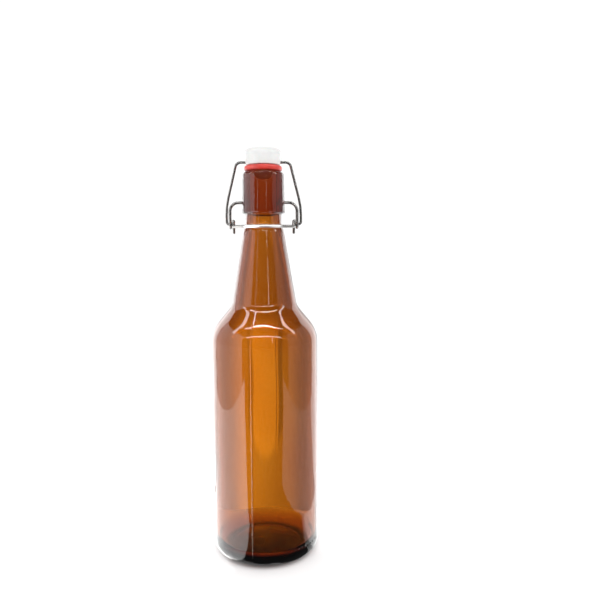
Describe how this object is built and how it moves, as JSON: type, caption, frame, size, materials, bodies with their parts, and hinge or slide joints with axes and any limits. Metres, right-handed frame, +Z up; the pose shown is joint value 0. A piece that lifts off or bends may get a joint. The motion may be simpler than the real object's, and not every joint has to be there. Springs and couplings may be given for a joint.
{
  "type": "swing top bottle",
  "caption": "Amber glass bottle with a long neck and a thick collar, closed by a white stopper and red gasket under a wire bail and a thumb lever.",
  "frame": {"origin": "middle of the ring that the bottle stands on", "axes": "+Z up along the bottle's axis, -Y towards the lever's thumb bar, +X along the closure's hinge axes"},
  "size_m": [0.07, 0.07, 0.2669],
  "materials": {
    "amber_glass": "clear amber bottle glass, fire polished",
    "white_plastic": "glossy white moulding",
    "red_rubber": "satin red rubber",
    "steel_wire": "bright drawn steel wire"
  },
  "bodies": {
    "bottle": {"bottle": "amber_glass"},
    "lever": {"lever": "steel_wire"},
    "bail": {"bail": "steel_wire"},
    "stopper": {"stopper": "white_plastic", "gasket": "red_rubber"}
  },
  "joints": [
    {"name": "lever_hinge", "type": "hinge", "parent": "bottle", "child": "lever", "pos_m": [0, 0, 0.2322], "axis": [-1, 0, 0], "range_deg": [0, 90]},
    {"name": "bail_hinge", "type": "hinge", "parent": "lever", "child": "bail", "pos_m": [0, 0.002, 0.2182], "axis": [1, 0, 0], "range_deg": [0, 60.5]},
    {"name": "stopper_hinge", "type": "hinge", "parent": "bail", "child": "stopper", "pos_m": [0, 0, 0.258], "axis": [1, 0, 0], "range_deg": [0, 30.5]}
  ],
  "couplings": [
    {"joint": "bail_hinge", "follows": "lever_hinge", "ratio": 0.6667},
    {"joint": "stopper_hinge", "follows": "lever_hinge", "ratio": 0.3333}
  ]
}
